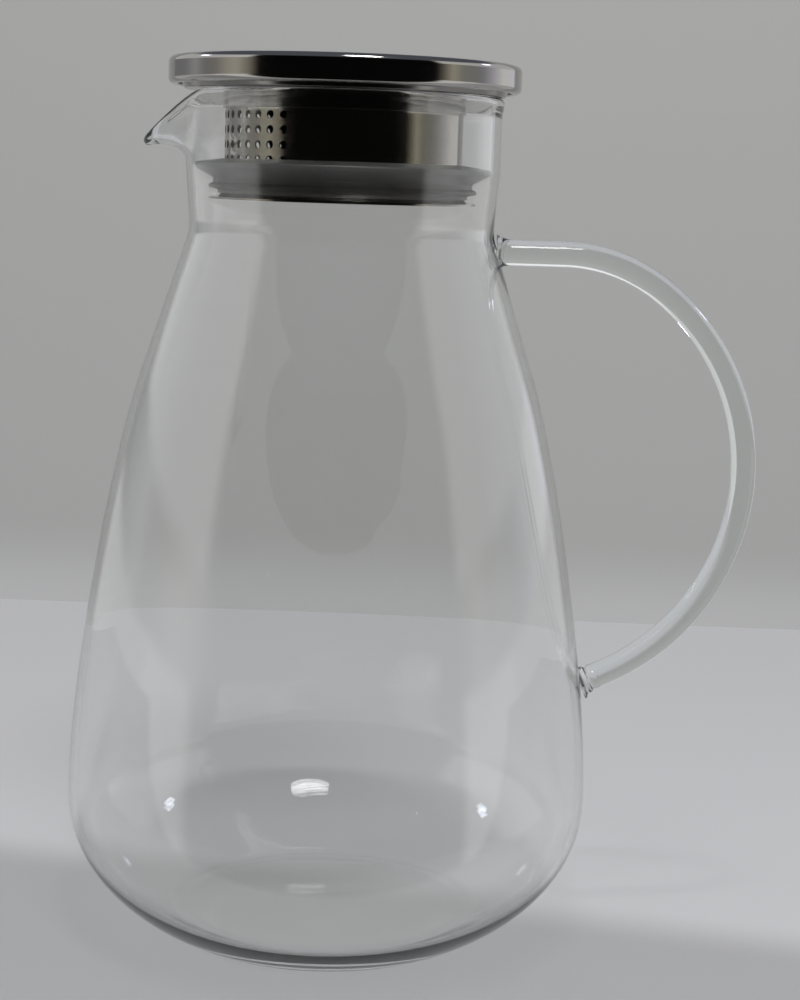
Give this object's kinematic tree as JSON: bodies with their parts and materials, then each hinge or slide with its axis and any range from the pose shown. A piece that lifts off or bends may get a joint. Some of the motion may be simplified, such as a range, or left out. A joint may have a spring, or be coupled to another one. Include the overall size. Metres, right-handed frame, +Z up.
{
  "type": "glass pitcher with lid",
  "caption": "Clear glass pitcher with a pulled spout and a bent glass rod handle, closed by a round steel lid with a perforated strainer sleeve and a lipped silicone seal.",
  "frame": {"origin": "on the jug's axis, at the height of the table that the foot ring stands on", "axes": "+Z up along the jug's axis, +X towards the handle, -X towards the spout"},
  "size_m": [0.1829, 0.14, 0.2303],
  "materials": {
    "clear_glass": "clear blown borosilicate glass, fire-polished rim",
    "rod_glass": "clear bent borosilicate glass rod",
    "cap_steel": "satin stainless steel",
    "underplate_steel": "bright pressed stainless steel",
    "strainer_steel": "satin stainless steel",
    "seal_silicone": "translucent grey silicone, matt"
  },
  "bodies": {
    "jug": {"glass_body": "clear_glass", "glass_handle": "rod_glass"},
    "seal": {"seal_ring": "seal_silicone"},
    "lid": {"lid_cap": "cap_steel", "lid_underplate": "underplate_steel", "strainer": "strainer_steel"}
  },
  "joints": [
    {"name": "lid_lift", "type": "slide", "parent": "jug", "child": "seal", "axis": [0, 0, 1], "range_m": [0, 0.045]},
    {"name": "lid_turn", "type": "hinge", "parent": "seal", "child": "lid", "pos_m": [0, 0, 0.2], "axis": [0, 0, 1], "continuous": true}
  ]
}
